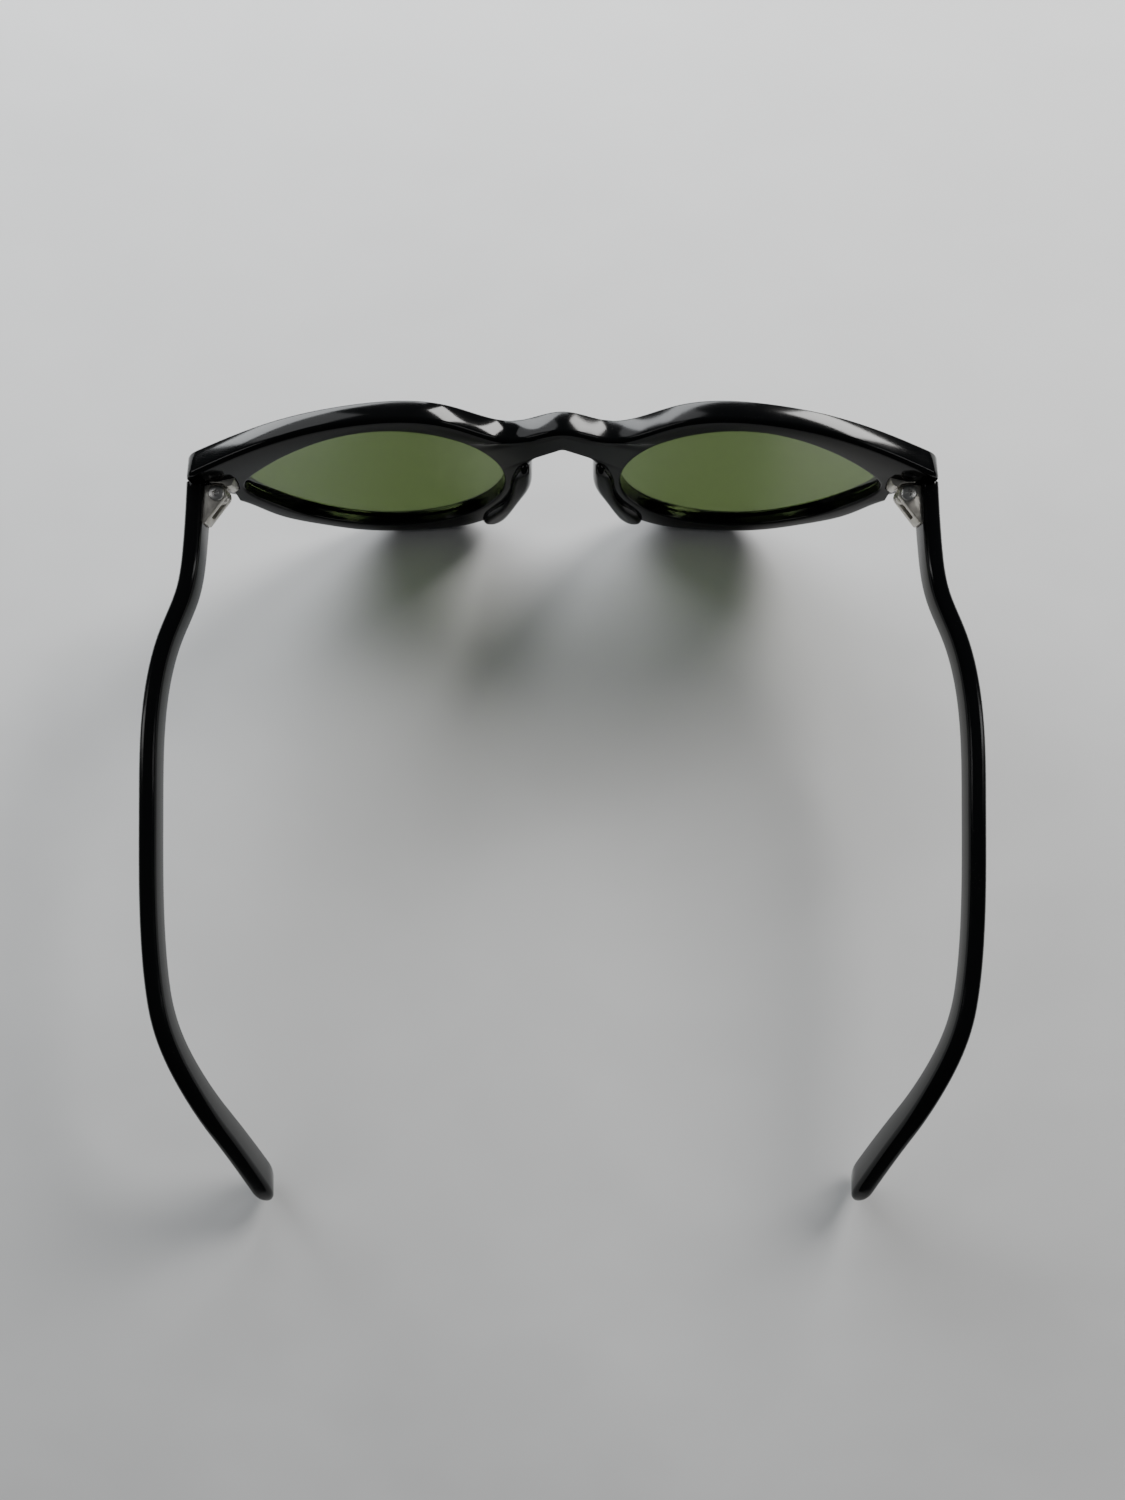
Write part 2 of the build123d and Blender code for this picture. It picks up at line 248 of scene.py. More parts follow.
# %% Acetate
def make_acetate(name, gloss, haze, dust_amount):
    """Black acetate: gloss is its roughness, haze how much that varies, dust how much shows."""
    material, tree, shader = new_finish(name, IOR=1.46, Specular_IOR_Level=0.35)
    smudge = noise(tree, 60, 5, 0.6)
    roughness = spread(tree, smudge, 0.35, 0.7, gloss, gloss + haze)
    tree.links.new(roughness, shader.inputs["Roughness"])
    specks = spread(tree, noise(tree, 5200, 2, 0.5), 0.70, 0.78, 0.0, 1.0)
    patches = spread(tree, noise(tree, 90, 3, 0.55, turn=(0.4, 0.2, 0.9)), 0.5, 0.72, 0.0, dust_amount)
    dust = tree.nodes.new("ShaderNodeMath")
    dust.operation = "MULTIPLY"
    tree.links.new(specks, dust.inputs[0])
    tree.links.new(patches, dust.inputs[1])
    body = blend_colours(tree, dust.outputs[0], (0.0016, 0.0018, 0.0020, 1), (0.16, 0.155, 0.145, 1))
    tree.links.new(body, shader.inputs["Base Color"])
    waves = add_bump(tree, shader, noise(tree, 70, 1, 0.3), 0.05, 0.0003)
    hairlines = noise(tree, 900, 3, 0.6, stretch=(1, 14, 1), turn=(0, 0, 0.6))
    add_bump(tree, shader, hairlines, 0.02, 0.00005, waves)
    return material


acetate_polished = make_acetate("acetate_polished", 0.085, 0.09, 0.55)
acetate_satin = make_acetate("acetate_satin", 0.22, 0.10, 0.2)
print("acetate finishes made")

# %% [markdown]
# ### Lens, metal and wire
# The lens is clear plastic dyed bottle green, so its colour belongs in the transmission. The
# hinge castings are tumbled nickel silver with a fine random grain; the screw is plated and
# brighter, with the rings that a lathe leaves.

# %% Lens and metals
def make_lens():
    """Dyed clear plastic, with a slight drift in its colour and faint smears."""
    material, tree, shader = new_finish(
        "lens_bottle_green", IOR=1.5, Transmission_Weight=1.0, Specular_IOR_Level=0.5
    )
    tint = blend_colours(
        tree, spread(tree, noise(tree, 14, 2, 0.4), 0.3, 0.7, 0.0, 1.0),
        (0.094, 0.136, 0.048, 1), (0.102, 0.145, 0.053, 1),
    )
    tree.links.new(tint, shader.inputs["Base Color"])
    smears = spread(tree, noise(tree, 120, 2, 0.4), 0.45, 0.75, 0.0, 0.012)
    tree.links.new(smears, shader.inputs["Roughness"])
    return material


def make_metal(name, colour, rough, grain, grain_stretch):
    """A metal whose roughness and bump follow a fine grain."""
    material, tree, shader = new_finish(name, Metallic=1.0)
    tone = noise(tree, 900, 4, 0.6, stretch=grain_stretch)
    darker = tuple(0.72 * part for part in colour) + (1,)
    tree.links.new(
        blend_colours(tree, spread(tree, tone, 0.3, 0.7, 0, 1), darker, colour + (1,)),
        shader.inputs["Base Color"],
    )
    tree.links.new(spread(tree, tone, 0.3, 0.7, rough, rough + 0.18), shader.inputs["Roughness"])
    add_bump(tree, shader, noise(tree, grain, 3, 0.6, stretch=grain_stretch), 0.12, 0.00005)
    return material


lens_green = make_lens()
casting_metal = make_metal("casting_nickel_silver", (0.74, 0.71, 0.65), 0.34, 5000, (1, 1, 1))
screw_metal = make_metal("screw_nickel_plate", (0.90, 0.89, 0.86), 0.26, 9000, (1, 1, 6))
wire_metal = make_metal("core_wire_nickel", (0.60, 0.59, 0.56), 0.25, 3000, (6, 1, 6))
print("lens and metal finishes made")

# %% [markdown]
# ## Bench tools
# A few jobs come up for every piece: turning a bmesh into an object that rides on its body,
# milling one piece with another, and breaking the sharp edges. Edges are always broken, since a
# real edge catches a thin line of light and a perfect one catches none.

# %% Piece helpers
def place(bm, name, finishes, body=None, nodes=(), seams=0.6):
    """Make a bmesh an object at the origin; given a body, ride it on that body and hide the CAD nodes it
    replaces.
    """
    bmesh.ops.recalc_face_normals(bm, faces=bm.faces)
    mesh = bpy.data.meshes.new(name)
    bm.to_mesh(mesh)
    bm.free()
    piece = bpy.data.objects.new(name, mesh)
    bpy.context.scene.collection.objects.link(piece)
    for finish in finishes:
        mesh.materials.append(finish)
    if body:
        own(piece, body, nodes, seams)
    return piece


def own(piece, body, nodes, seams=0.6):
    """Smooth the piece, ride it on its body, and let it stand for its CAD nodes."""
    piece.data.shade_smooth()
    piece.data.set_sharp_from_angle(angle=seams)
    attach(piece, body)
    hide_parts(*nodes)
    print(piece.name, len(piece.data.polygons), "faces")


def settle(piece):
    """Apply a piece's modifiers to its mesh."""
    seen = piece.evaluated_get(bpy.context.evaluated_depsgraph_get())
    mesh = bpy.data.meshes.new_from_object(seen)
    piece.modifiers.clear()
    piece.data = mesh


def mill(piece, cutter):
    """Cut one piece with another, and take the cutter away."""
    cut = piece.modifiers.new("mill", "BOOLEAN")
    cut.operation, cut.solver, cut.object = "DIFFERENCE", "EXACT", cutter
    settle(piece)
    bpy.data.objects.remove(cutter)


def break_edges(piece, width, steps=3, angle=0.6):
    """Round every edge sharper than an angle."""
    bevel = piece.modifiers.new("edges", "BEVEL")
    bevel.width, bevel.segments = width * MM, steps
    bevel.limit_method, bevel.angle_limit = "ANGLE", angle
    bevel.use_clamp_overlap = True
    settle(piece)


def ring(bm, places):
    """A closed loop of edges through places."""
    verts = [bm.verts.new(place_) for place_ in places]
    return [bm.edges.new((verts[i], verts[(i + 1) % len(verts)])) for i in range(len(verts))]


def grow_line(bm, edges, line, places):
    """Extrude a line of edges, and lay its new points out in the order of the old ones."""
    grown = bmesh.ops.extrude_edge_only(bm, edges=edges)["geom"]
    fresh = {item for item in grown if isinstance(item, bmesh.types.BMVert)}
    line = [
        next(edge.other_vert(vert) for edge in vert.link_edges if edge.other_vert(vert) in fresh)
        for vert in line
    ]
    for vert, spot in zip(line, places):
        vert.co = spot
    return [item for item in grown if isinstance(item, bmesh.types.BMEdge)], line


# %% [markdown]
# ## The front
# The outline of one half is a line of edges. It is extruded inwards in small steps that follow a
# quarter circle, then ring by ring to the lens opening, and the half is mirrored across the
# bridge. The sheet is pulled back into a solid, thick at the bridge and ends, and every point
# near an edge falls away as a rounded edge does. Rounding it while it is drawn keeps the steps
# square to the edge; a bevel over the finished solid leaves spikes where a spoke meets it at a
# slant.

# %% Front thickness
back_marks = [(0, 4.8), (36.0, 4.2), (60.0, 4.6), (71.7, 4.9)]
mirrored_marks = [(-u, deep) for u, deep in reversed(back_marks[1:])] + back_marks
back_line = batten([(u, -sag(u) - deep) for u, deep in mirrored_marks], 400)


def back_of_front(u):
    """Depth of the front's back face behind the drawing plane."""
    return float(np.interp(u, back_line[:, 0], back_line[:, 1]))


print("front thickness over the lens", round(-sag(36.0) - back_of_front(36.0), 2))

# %% Where the pin stands
fold_right = hinge_of["fold_right"]
pin = Vector(fold_right["pos_m"]) / MM
lean = asin(-fold_right["axis"][1])
pin_back = 2.1
print("pin", [round(x, 2) for x in pin], "lean", round(lean, 4))

# %% Outline of the front
corner_round, corner_steps = 2.4, 6


def end_corner(before, corner, after, steps=8):
    """A rounded corner between two directions, as points on a quadratic curve."""
    start = corner + (before - corner) / np.linalg.norm(before - corner) * corner_round
    stop = corner + (after - corner) / np.linalg.norm(after - corner) * corner_round
    return [
        start * (1 - t) ** 2 + corner * 2 * t * (1 - t) + stop * t * t
        for t in np.linspace(0, 1, steps)
    ]


def front_outline():
    """The right half from the top of the bridge round to its underside, and each point's turn
    round the lens's middle, in radians."""
    over = mirrored_batten(bridge_top, upper_marks, 170)[:-corner_steps]
    under = mirrored_batten(bridge_under, lower_marks, 230)[::-1][corner_steps:]
    top, bottom = np.array(end_top), np.array(end_bottom)
    end = end_corner(over[-1], top, bottom)
    end += list(np.linspace(end[-1], bottom + (0, corner_round), 8)[1:-1])
    end += end_corner(top, bottom, under[0])
    turns = [
        np.linspace(158, 26, len(over)), np.linspace(26, 4, len(end) + 2)[1:-1],
        np.linspace(4, -188, len(under)),
    ]
    return np.vstack([over, end, under]), np.radians(np.concatenate(turns))


print("outline points", len(front_outline()[0]))

# %% Rounded edges
rear_round, opening_round, face_round = 1.1, 0.5, 0.35
quarter = [1 - cos(turn) for turn in np.linspace(0, pi / 2, 5)]


def flat(line):
    """A line of the flat drawing as places in space."""
    return np.column_stack([line, np.zeros(len(line))])


def right_of(line, closed):
    """Unit directions to the right of a line of points; an open line starts and ends level."""
    if closed:
        along = np.roll(line, -1, axis=0) - np.roll(line, 1, axis=0)
    else:
        along = np.gradient(line, axis=0)
        along[[0, -1], 1] = 0
    return np.column_stack([along[:, 1], -along[:, 0]]) / np.linalg.norm(along, axis=1)[:, None]


def reach_to(line, spot):
    """Shortest distance from a spot to a line of points."""
    start, run = line[:-1], np.diff(line, axis=0)
    share = ((spot - start) * run).sum(axis=1) / (run * run).sum(axis=1)
    nearest = start + run * np.clip(share, 0, 1)[:, None]
    return float(np.linalg.norm(nearest - spot, axis=1).min())


def fallen(distance, radius):
    """How far a rounded edge has fallen away at a distance in from it."""
    near = max(radius - distance, 0.0)
    return radius - sqrt(radius * radius - near * near)


print("rear edge fallen", [round(fallen(rear_round * share, rear_round), 2) for share in quarter])

# %% Front
seam_points = 9


def build_front():
    """One half drawn ring by ring, mirrored, thickened and bent into the frame."""
    outline, turns = front_outline()
    turns = np.append(turns, np.radians(np.linspace(-188, -202, seam_points + 2)[1:-1]))
    opening = np.array([opening_at(turn) for turn in turns])
    into_rim, into_hole = right_of(outline, False), right_of(opening, True)
    shoulder = outline + into_rim * rear_round
    seam = np.linspace(shoulder[-1], shoulder[0], seam_points + 2)[1:-1]
    bm = bmesh.new()
    line = [bm.verts.new(spot) for spot in flat(outline)]
    edges = [bm.edges.new(pair) for pair in zip(line, line[1:])]
    for share in quarter[1:]:
        edges, line = grow_line(bm, edges, line, flat(outline + into_rim * rear_round * share))
    middle = [bm.verts.new(spot) for spot in flat(seam)]
    closing = [line[-1]] + middle + [line[0]]
    edges += [bm.edges.new(pair) for pair in zip(closing, closing[1:])]
    line += middle
    halfway = (np.vstack([shoulder, seam]) + opening - into_hole * opening_round) / 2
    edges, line = grow_line(bm, edges, line, flat(halfway))
    for share in reversed(quarter):
        edges, line = grow_line(bm, edges, line, flat(opening - into_hole * opening_round * share))
    bmesh.ops.mirror(bm, geom=bm.verts[:] + bm.edges[:] + bm.faces[:], axis="X", merge_dist=1e-4)
    bmesh.ops.remove_doubles(bm, verts=bm.verts, dist=1e-3)
    bmesh.ops.recalc_face_normals(bm, faces=bm.faces)
    grown = bmesh.ops.extrude_face_region(bm, geom=bm.faces[:])
    behind = {item for item in grown["geom"] if isinstance(item, bmesh.types.BMVert)}
    lens_line = np.vstack([opening, opening[:1]])
    for vert in bm.verts:
        u, v = vert.co.x, vert.co.y
        to_edge, to_lens = reach_to(outline, (abs(u), v)), reach_to(lens_line, (abs(u), v))
        if vert in behind:
            w = back_of_front(u) + fallen(to_edge, rear_round) + fallen(to_lens, opening_round)
        else:
            w = -sag(u) - fallen(to_edge, face_round) - fallen(to_lens, face_round)
        vert.co = on_front(u, v, w)
    bmesh.ops.recalc_face_normals(bm, faces=bm.faces)
    backward = Vector((0, -cos(front_tilt), sin(front_tilt)))
    for face in bm.faces:
        face.material_index = int(face.normal.dot(backward) > 0.94)
    return place(bm, "front_acetate", [acetate_polished, acetate_satin])


front = build_front()
print("front", len(front.data.vertices), "points")

# %% [markdown]
# ## Hinges
# An acetate hinge is cast in two halves. The front half is a plate let into the back of the
# front, with one middle knuckle on a small gusset; the temple half is a wedge let into the
# temple, slotted so that its two knuckles close over the middle one. Each half is an extruded
# outline milled with simple cutters, and the same outline, slightly larger, mills its pocket.

# %% Hinge outlines
hinge_height, middle_knuckle, knuckle_radius, knuckle_gap = 4.0, 1.4, 1.75, 0.06
foot_length, foot_sink, slot_back, plate_thick = 5.6, 0.6, 4.3, 1.5
plate_inner, plate_outer = -3.3, 1.4
temple_inset, temple_thick = 1.1, 3.3
wall = half_width - temple_inset - pin.x - temple_thick / 2


def hinge_space(side):
    """Turns hinge millimetres, with z along the pin, into the frame's metres."""
    joint = hinge_of["fold_right" if side > 0 else "fold_left"]
    axis = Vector(joint["axis"])
    across = Vector((1, 0, 0))
    ahead = axis.cross(across)
    turn = Matrix((across, ahead, axis)).transposed().to_4x4()
    return Matrix.Translation(joint["pos_m"]) @ turn @ Matrix.Scale(MM, 4)


def slab(side, outline, low, high):
    """An outline in the hinge's plane, extruded along the pin."""
    bm = bmesh.new()
    face = bm.faces.new([bm.verts.new((side * x, y, low)) for x, y in outline])
    grown = bmesh.ops.extrude_face_region(bm, geom=[face])
    lifted = [item for item in grown["geom"] if isinstance(item, bmesh.types.BMVert)]
    bmesh.ops.translate(bm, verts=lifted, vec=(0, 0, high - low))
    bmesh.ops.transform(bm, matrix=hinge_space(side), verts=bm.verts)
    return bm


def arc(radius, start, stop, count):
    """Points on a circle about the pin, between two angles in degrees."""
    turns = [radians(a) for a in np.linspace(start, stop, count)]
    return [(radius * cos(turn), radius * sin(turn)) for turn in turns]


def foot_outline(grow=0.0):
    """The temple casting: round at the knuckle, then a wedge along the temple."""
    deep = wall + foot_sink + grow
    knuckle = arc(knuckle_radius + grow, 90, 202, 22)
    tail = -foot_length - grow
    return knuckle + [(wall - 0.2, tail), (deep, tail), (deep, knuckle_radius - 0.3)]


def front_casting_outline(grow=0.0):
    """The front casting: a plate in the acetate, necked towards the knuckle."""
    deep = pin_back + plate_thick + grow
    return [
        (plate_inner - grow, deep), (plate_outer + grow, deep),
        (plate_outer + grow, pin_back - 0.1), (-1.0, pin_back - 0.3), (-2.0, 1.1),
        (plate_inner + 0.5, 1.5), (plate_inner - grow, pin_back + 0.3),
    ]


def cutter(side, outline, low, high):
    """A slab without a finish, to mill another piece with."""
    return place(slab(side, outline, low, high), "cutter", [])


# %% Front halves of the hinges
half_height = hinge_height / 2
knuckle_clear, pocket_clear, pocket_headroom, recess_reach = 0.12, 0.12, 0.15, 2.1
beyond, past_end, past_pin = 20.0, 12.0, -8.0
recess = [
    (-recess_reach, pin_back), (past_end, pin_back), (past_end, past_pin),
    (-recess_reach, past_pin),
]


def build_front_casting(name, side):
    """Mill the front for one casting, then make the plate and its knuckle."""
    deep_half = half_height + pocket_headroom
    pocket = [(x + pocket_clear * np.sign(x), y) for x, y in front_casting_outline(pocket_clear)]
    mill(front, cutter(side, recess, -beyond, beyond))
    mill(front, cutter(side, pocket, -deep_half, deep_half))
    plate = slab(side, front_casting_outline(), -half_height, half_height)
    plate = place(plate, f"front_hinge_cast_{name}", [casting_metal])
    mill(plate, cutter(side, arc(knuckle_radius + knuckle_clear, 0, 354, 60), -beyond, beyond))
    gusset = [(0.9, pin_back + 0.4), (-2.2, pin_back + 0.4)]
    knuckle = arc(knuckle_radius, 150, 390, 48) + gusset
    arm = place(slab(side, knuckle, -middle_knuckle / 2, middle_knuckle / 2), "arm", [casting_metal])
    join = plate.modifiers.new("join", "BOOLEAN")
    join.operation, join.solver, join.object = "UNION", "EXACT", arm
    settle(plate)
    bpy.data.objects.remove(arm)
    break_edges(plate, 0.12, 2)
    own(plate, "front", [f"front_hinge_{name}"])


for name, side in SIDES.items():
    build_front_casting(name, side)
own(front, "front", ["front_frame"], seams=0.9)

# %% Temple halves of the hinges
slot_half = middle_knuckle / 2 + knuckle_gap
knuckle_slot = [(-4, -slot_back), (wall + 0.1, -slot_back), (wall + 0.1, 4), (-4, 4)]
for name, side in SIDES.items():
    foot = slab(side, foot_outline(), -half_height, half_height)
    foot = place(foot, f"temple_hinge_cast_{name}", [casting_metal])
    mill(foot, cutter(side, knuckle_slot, -slot_half, slot_half))
    break_edges(foot, 0.16, 3)
    own(foot, f"temple_{name}_arm", [f"temple_hinge_{name}"])

# %% [markdown]
# ## Hinge screws
# The screw is a turned part, so its profile is spun about the pin: a domed head on the top
# knuckle and a plain shank through all three. The Phillips recess is milled afterwards with two
# crossed bars whose ends slope in, as the punch leaves them.

# %% Screws
head_radius, head_height, head_rim, screw_radius = 1.5, 0.65, 0.18, 0.7
cross_turn = 0.12


def build_screw(name, side):
    """A domed screw spun about the pin, with a crossed recess punched in its head."""
    profile = [(0.0, head_height)]
    profile += [
        (head_radius * sin(a), head_rim + (head_height - head_rim) * cos(a))
        for a in np.linspace(0.25, pi / 2, 9)
    ]
    profile += [
        (head_radius, 0.05), (head_radius - 0.06, 0.0), (screw_radius, 0.0),
        (screw_radius, -hinge_height + 0.15), (screw_radius - 0.15, -hinge_height),
        (0.0, -hinge_height),
    ]
    bm = bmesh.new()
    verts = [bm.verts.new((x, 0, z + half_height)) for x, z in profile]
    line = [bm.edges.new(pair) for pair in zip(verts, verts[1:])]
    bmesh.ops.spin(
        bm, geom=verts + line, cent=(0, 0, 0), axis=(0, 0, 1), angle=2 * pi, steps=64,
        use_merge=True, use_duplicate=False,
    )
    bmesh.ops.remove_doubles(bm, verts=bm.verts, dist=1e-4)
    bmesh.ops.transform(bm, matrix=hinge_space(side), verts=bm.verts)
    screw = place(bm, f"hinge_screw_domed_{name}", [screw_metal])
    for turn in (cross_turn, cross_turn + pi / 2):
        bar = bmesh.new()
        bmesh.ops.create_cube(bar, size=1.0)
        bmesh.ops.scale(bar, vec=(1.9, 0.5, 0.9), verts=bar.verts)
        for vert in bar.verts:
            if vert.co.z < 0:
                vert.co.x *= 0.45
                vert.co.y *= 0.6
        across = Matrix.Rotation(turn * side, 3, "Z")
        bmesh.ops.rotate(bar, cent=(0, 0, 0), matrix=across, verts=bar.verts)
        bmesh.ops.translate(bar, vec=(0, 0, half_height + head_height), verts=bar.verts)
        bmesh.ops.transform(bar, matrix=hinge_space(side), verts=bar.verts)
        mill(screw, place(bar, "cutter", []))
    own(screw, f"temple_{name}_arm", [f"hinge_screw_{name}"], seams=0.5)


for name, side in SIDES.items():
    build_screw(name, side)

# %% [markdown]
# ## Lenses
# A sun lens is cut from a sphere, so it stands a little proud of the rim at its middle while
# its edge stays in the groove. Rings drawn in from the edge to the centre carry the sphere
# evenly, and the shell gets its thickness towards the sphere's centre.

# %% Lenses
lens_curve, lens_thick, lens_proud, groove_depth = 130.0, 1.8, 0.6, 0.6


def build_lens(name, side):
    """A spherical shell that fills the opening and reaches into the groove."""
    to_middle = Matrix.Translation((-lens_middle[0], -lens_middle[1], 0))
    turn = asin(lens_middle[0] / front_curve)
    crown = on_front(side * lens_middle[0], lens_middle[1], lens_proud - sag(lens_middle[0])) / MM
    across = Vector((1, 0, 0)) * side * sin(turn)
    ahead = Vector((0, cos(front_tilt), -sin(front_tilt))) * cos(turn)
    out = (across + ahead).normalized()
    middle = crown - out * lens_curve
    bm = bmesh.new()
    count, rings = 180, 16
    angles = np.linspace(0, 2 * pi, count, endpoint=False)
    edge = [opening_at(angle, groove_depth - 0.05) for angle in angles]
    edges = ring(bm, [(u, v, 0) for u, v in edge])
    for step in range(1, rings):
        grown = bmesh.ops.extrude_edge_only(bm, edges=edges)
        edges = [item for item in grown["geom"] if isinstance(item, bmesh.types.BMEdge)]
        verts = [item for item in grown["geom"] if isinstance(item, bmesh.types.BMVert)]
        keep = (rings - step) / (rings - step + 1)
        bmesh.ops.scale(bm, vec=(keep, keep, 1), verts=verts, space=to_middle)
    bmesh.ops.holes_fill(bm, edges=edges, sides=0)
    bmesh.ops.poke(bm, faces=[face for face in bm.faces if len(face.verts) > 4])
    for vert in bm.verts:
        flat = on_front(side * vert.co.x, vert.co.y, -sag(vert.co.x)) / MM - middle
        aside = flat - out * flat.dot(out)
        vert.co = (middle + aside + out * sqrt(lens_curve**2 - aside.length_squared)) * MM
    grown = bmesh.ops.extrude_face_region(bm, geom=bm.faces[:])
    inner = [item for item in grown["geom"] if isinstance(item, bmesh.types.BMVert)]
    for vert in inner:
        vert.co -= (vert.co - middle * MM).normalized() * lens_thick * MM
    bmesh.ops.recalc_face_normals(bm, faces=bm.faces)
    nodes = [f"lens_{name}"]
    place(bm, f"lens_tinted_{name}", [lens_green], "front", nodes, seams=0.7)


for name, side in SIDES.items():
    build_lens(name, side)

# %% [markdown]
# ## Nose pads
# The pads are leaves of the same acetate, glued to the nasal side of each rim and polished
# until they flow out of it. A closed batten gives the leaf and an open one its ridge. Slices of
# the leaf, each drawn in further towards the ridge, are bridged into a cushion. Drawing towards
# a ridge and not straight in keeps the narrow tips from folding over themselves.

# %% Pads
pad_marks = [
    (7.2, 27.6), (9.4, 24.5), (10.7, 18.0), (13.0, 11.5), (16.4, 6.6), (16.8, 3.8),
    (14.2, 3.4), (10.8, 7.8), (8.2, 14.5), (6.0, 22.0),
]
ridge_marks = [(7.6, 24.8), (8.2, 20.5), (9.5, 16.2), (12.1, 9.6), (15.2, 5.4)]
pad_foot, pad_depth, pad_draw = 4.1, 2.2, 0.72


def build_pad(name, side):
    """A cushion on the leaf's outline, from inside the rim out to its ridge."""
    leaf, ridge = batten(pad_marks, 72, closed=True), batten(ridge_marks, 120)
    nearest = [np.linalg.norm(ridge - spot, axis=1).argmin() for spot in leaf]
    to_ridge = ridge[nearest] - leaf
    slices = [(0.0, -2.4)]
    slices += [(1 - cos(turn), pad_depth * sin(turn)) for turn in np.linspace(0, radians(88), 10)]
    bm = bmesh.new()
    loops = []
    for share, deep in slices:
        drawn = leaf + to_ridge * pad_draw * share
        loops += ring(bm, [on_front(side * u, v, -pad_foot - deep) for u, v in drawn])
    bmesh.ops.bridge_loops(bm, edges=loops)
    open_edges = [edge for edge in bm.edges if edge.is_boundary]
    bmesh.ops.holes_fill(bm, edges=open_edges, sides=0)
    finishes, nodes = [acetate_polished], [f"nose_pad_{name}"]
    place(bm, f"nose_pad_polished_{name}", finishes, "front", nodes, seams=1.2)


for name, side in SIDES.items():
    build_pad(name, side)

# %% [markdown]
# ## Temples
# A temple is a bar of acetate shot onto a wire core, bowed out past the hinge, nearly straight
# along the head, then bent down and in behind the ear. One rounded section is extruded along
# the temple's line ring by ring, getting deeper towards the tip, which is rounded off.

# %% Temple line
temple_length, bend_start, bend_radius = 138.0, 95.5, 40.0
bend_angle, temple_middle = radians(39.2), 31.9
temple_tall, temple_slim, tip_tall, tip_thick, section_round = 6.3, 5.6, 7.4, 3.7, 1.15
temple_x = half_width - temple_inset
butt_y = pin.y + pin_back
temple_run = batten(
    [
        (temple_x + out, butt_y - back)
        for back, out in (
            (-9.0, -0.2), (0, 0), (12.5, 0.6), (21, 1.9), (28.5, 4.8), (36.5, 6.9), (60.5, 8.0),
            (86.5, 7.1), (102, 4.5), (112.5, 0.6), (126.5, -5.0), (temple_length, -9.0),
        )
    ],
    900,
)


def temple_drop(back):
    """Height of the temple's middle and its fall, at a distance behind the butt joint."""
    full = lean + bend_angle
    level = temple_middle - min(back, bend_start) * tan(lean)
    if back <= bend_start:
        return level, lean
    past = back - bend_start
    turn_length = bend_radius * (sin(full) - sin(lean))
    if past <= turn_length:
        fall = asin(sin(lean) + past / bend_radius)
        return level - bend_radius * (cos(lean) - cos(fall)), fall
    level -= bend_radius * (cos(lean) - cos(full))
    return level - (past - turn_length) * tan(full), full


def temple_size(back):
    """Thickness and height of the section at a distance behind the butt joint."""
    if back < bend_start:
        return temple_thick, temple_tall + (temple_slim - temple_tall) * min(1.0, max(back, 0) / 40)
    share = (back - bend_start) / (temple_length - bend_start)
    thick = temple_thick + (tip_thick - temple_thick) * share
    return thick, temple_slim + (tip_tall - temple_slim) * share


def section(thick, tall, corner, steps=6):
    """A rounded rectangle as a loop of points."""
    points = []
    for quarter, (sx, sy) in enumerate(((1, 1), (-1, 1), (-1, -1), (1, -1))):
        for a in np.linspace(0, 90, steps):
            turn = radians(90 * quarter + a)
            across, up = sx * (thick / 2 - corner), sy * (tall / 2 - corner)
            points.append((across + corner * cos(turn), up + corner * sin(turn)))
    return points


# %% Temples
tip_start, tip_run, tip_blunt = 134.4, 3.55, 0.45
butt_clear, butt_ease = 0.05, 0.18


def build_temple(name, side):
    """One temple, from the butt joint to the rounded tip, milled for its casting."""
    bm = bmesh.new()
    backs = [*np.linspace(0, 60, 46), *np.linspace(61.5, 95, 18), *np.linspace(96, tip_start, 40)]
    tip = [tip_start + tip_run * share for share in (0.25, 0.5, 0.7, 0.84, 0.93, 0.98, 1.0)]
    edges = None
    for back in backs + tip:
        y = butt_y - back
        x = float(np.interp(-y, -temple_run[:, 1], temple_run[:, 0]))
        before = float(np.interp(-(y + 0.4), -temple_run[:, 1], temple_run[:, 0]))
        after = float(np.interp(-(y - 0.4), -temple_run[:, 1], temple_run[:, 0]))
        level, fall = temple_drop(back)
        run = Vector((side * (after - before), -0.8, -0.8 * tan(fall))).normalized()
        across = Vector((-run.y, run.x, 0)).normalized()
        up = across.cross(run)
        up = up if up.z > 0 else -up
        thick, tall = temple_size(back)
        into = max(0.0, (back - tip_start) / tip_run)
        shrink = sqrt(max(0.0, 1 - (0.985 * into) ** 2))
        tall *= tip_blunt + (1 - tip_blunt) * shrink
        thick *= shrink
        corner = min(section_round, 0.46 * min(thick, tall))
        middle = Vector((side * x, y, level))
        places = [middle + across * (side * a) + up * b for a, b in section(thick, tall, corner)]
        if back == 0:
            seat = [butt_y - butt_clear - (spot.z - pin.z) * tan(lean) for spot in places]
            places = [Vector((spot.x, y_seat, spot.z)) for spot, y_seat in zip(places, seat)]
        places = [spot * MM for spot in places]
        if edges is None:
            edges = ring(bm, places)
            line = [edge.verts[0] for edge in edges]
        else:
            edges, line = grow_line(bm, edges, line, places)
    bmesh.ops.holes_fill(bm, edges=[edge for edge in bm.edges if edge.is_boundary], sides=0)
    caps = [face for face in bm.faces if len(face.verts) > 4]
    front_cap = max(caps, key=lambda cap: cap.calc_center_median().y)
    bmesh.ops.bevel(
        bm, geom=list(front_cap.edges), offset=butt_ease * MM, offset_type="OFFSET", segments=2, profile=0.5,
        affect="EDGES", material=-1,
    )
    temple = place(bm, f"temple_polished_{name}", [acetate_polished])
    seat_half = half_height + 0.05
    mill(temple, cutter(side, foot_outline(0.05), -seat_half, seat_half))
    own(temple, f"temple_{name}_arm", [f"temple_{name}"], seams=0.9)


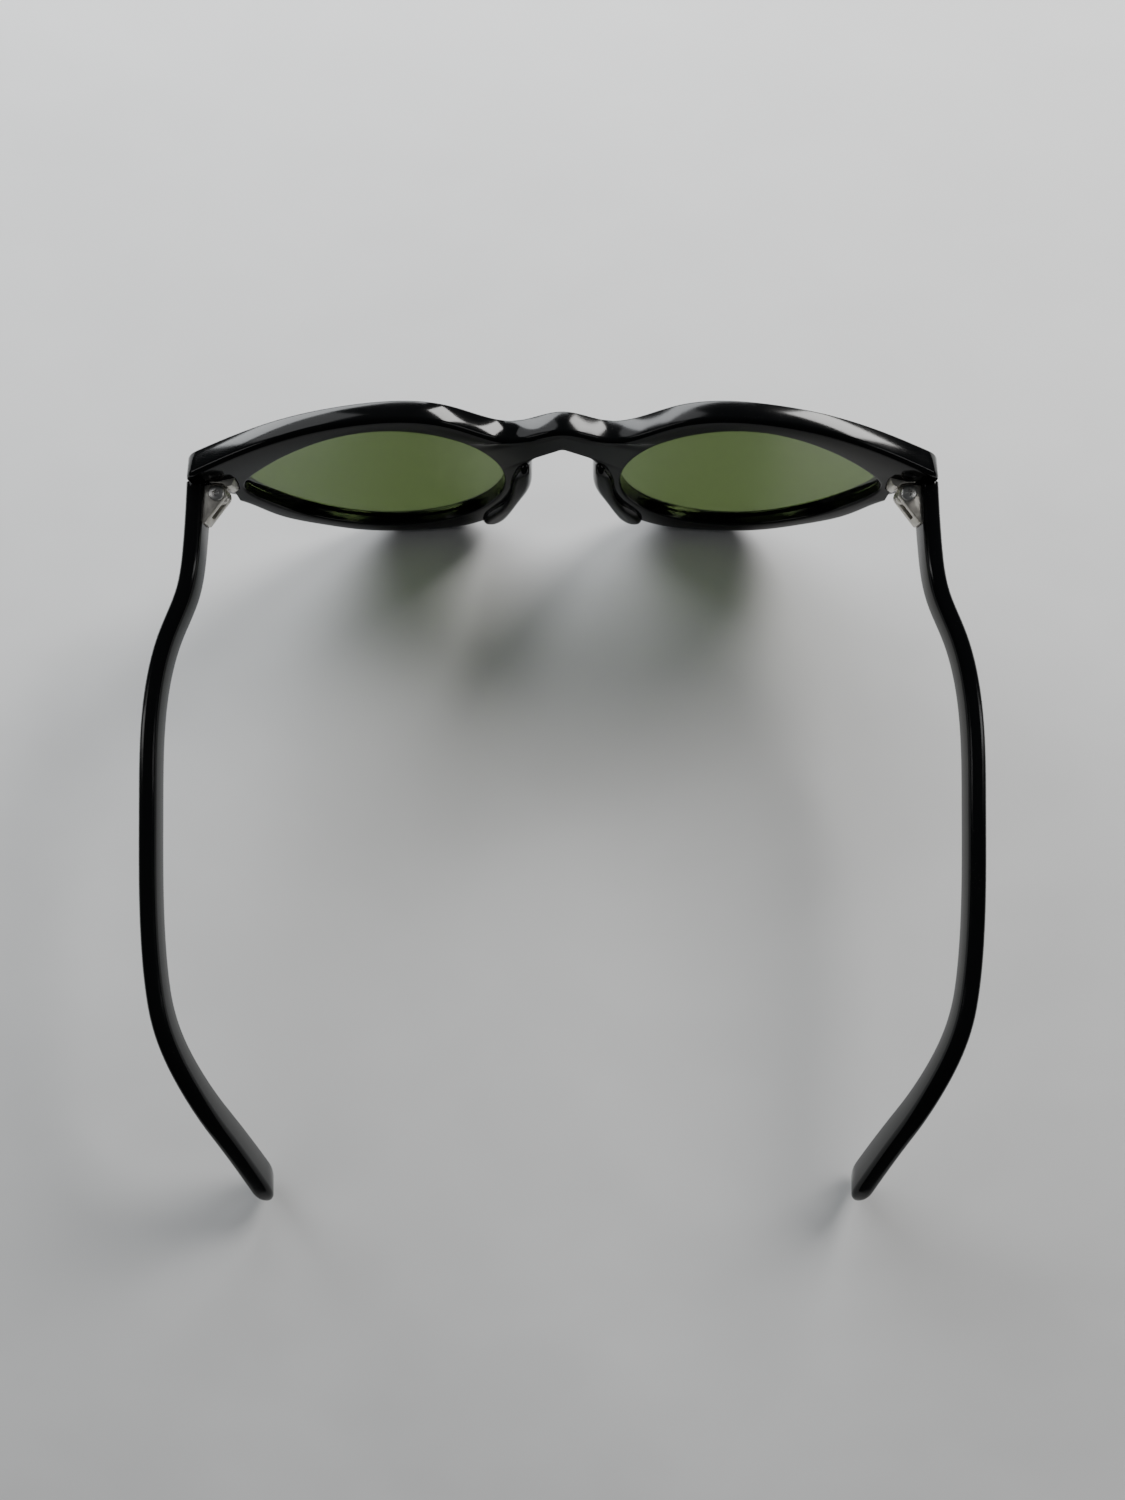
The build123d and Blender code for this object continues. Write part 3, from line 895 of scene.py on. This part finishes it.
for name, side in SIDES.items():
    build_temple(name, side)
    core = frame["nodes"][f"temple_core_{name}"]
    for slot_ in core.material_slots:
        slot_.material = wire_metal

# %% [markdown]
# ## Floor, light and camera
# The glasses stand on a pale sheet. One window stands ahead and to the wearer's right, a low
# strip of sky lies behind the brow, and weak lamps fill the sides. Soft lights of a limited size
# draw clean highlights along black acetate, the only way its shape can be read, and a dim room
# keeps the rest of it black.

# %% Floor
floor_finish, floor_tree, floor_shader = new_finish("pale_sheet", Roughness=0.75)
floor_tone = blend_colours(
    floor_tree, spread(floor_tree, noise(floor_tree, 9, 4, 0.55), 0.3, 0.7, 0, 1),
    (0.70, 0.70, 0.70, 1), (0.78, 0.78, 0.78, 1),
)
floor_tree.links.new(floor_tone, floor_shader.inputs["Base Color"])
add_bump(floor_tree, floor_shader, noise(floor_tree, 16, 3, 0.45), 0.25, 0.004)
floor_mesh = bmesh.new()
bmesh.ops.create_grid(floor_mesh, x_segments=8, y_segments=8, size=1.6)
bmesh.ops.translate(floor_mesh, verts=floor_mesh.verts, vec=(0, 0, cad_box[0].z - 0.0001))
floor = place(floor_mesh, "floor", [floor_finish])

# %% Lights
def soft_light(name, spot, aim, size, power, colour):
    """A rectangular area light that looks at a point."""
    light = bpy.data.lights.new(name, "AREA")
    light.shape, light.size, light.size_y = "RECTANGLE", size[0], size[1]
    light.energy, light.color = power, colour
    lamp = bpy.data.objects.new(name, light)
    lamp.location = spot
    lamp.rotation_euler = (Vector(aim) - Vector(spot)).to_track_quat("-Z", "Y").to_euler()
    bpy.context.scene.collection.objects.link(lamp)
    print(name, power, "W")


soft_light("window", (0.38, 0.47, 0.34), (0, 0.06, 0), (0.28, 0.22), 4.6, (1.0, 0.99, 0.97))
soft_light("sky", (-0.16, 0.46, 0.20), (-0.05, 0.12, 0), (0.60, 0.16), 3.6, (0.95, 0.98, 1.0))
soft_light("wall", (-0.36, 0.42, 0.46), (-0.10, 0.10, 0), (0.32, 0.26), 0.5, (0.96, 0.98, 1.0))
soft_light("lamp_right", (0.60, 0.06, 0.42), (0, 0, 0), (0.05, 0.40), 0.25, (1.0, 1.0, 1.0))
soft_light("lamp_left", (-0.60, 0.06, 0.42), (0, 0, 0), (0.05, 0.40), 0.25, (1.0, 1.0, 1.0))
world = bpy.data.worlds.new("room")
world.use_nodes = True
world.node_tree.nodes["Background"].inputs["Color"].default_value = (0.80, 0.84, 0.88, 1)
world.node_tree.nodes["Background"].inputs["Strength"].default_value = 0.06
bpy.context.scene.world = world

# %% Camera
camera_data = bpy.data.cameras.new("camera")
camera_data.lens, camera_data.sensor_width = 27.05, 36.0
camera_data.clip_start, camera_data.clip_end = 0.01, 10
camera = bpy.data.objects.new("camera", camera_data)
camera.location = (0.0, -0.0041, 0.2395)
camera.rotation_euler = (radians(5.0), 0, 0)
bpy.context.scene.collection.objects.link(camera)
bpy.context.scene.camera = camera
